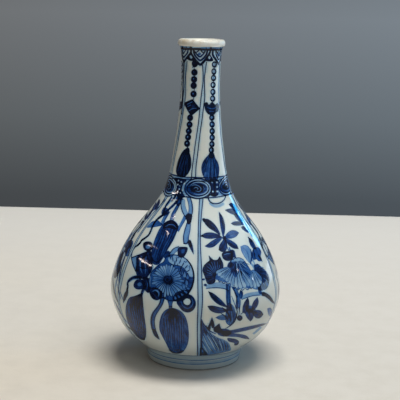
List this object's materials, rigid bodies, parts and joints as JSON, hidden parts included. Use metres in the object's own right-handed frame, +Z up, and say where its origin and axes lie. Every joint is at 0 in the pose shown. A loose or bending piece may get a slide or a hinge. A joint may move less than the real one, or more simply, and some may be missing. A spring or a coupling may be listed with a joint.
{
  "type": "pear-shaped vase",
  "caption": "Pear-shaped porcelain bottle vase with a tall neck, rolled lip and low foot ring, hollow, with blue panels painted under the glaze.",
  "frame": {"origin": "centre of the foot ring's resting plane", "axes": "+Z up along the axis of revolution, -Y towards the viewer of the picture, +X to that viewer's right"},
  "size_m": [0.1438, 0.1438, 0.27],
  "materials": {
    "painted_glaze": "glossy bluish-white glaze over cobalt blue painting",
    "lip": "glossy cream glaze, worn brown along the edge",
    "foot": "glossy grey-blue glaze with an unglazed buff resting edge",
    "base": "thin glossy glaze with turning marks"
  },
  "bodies": {
    "root": {"mouth_rim": "lip", "neck": "painted_glaze", "upper_body": "painted_glaze", "lower_body": "painted_glaze", "foot_ring": "foot", "base": "base"}
  },
  "joints": []
}
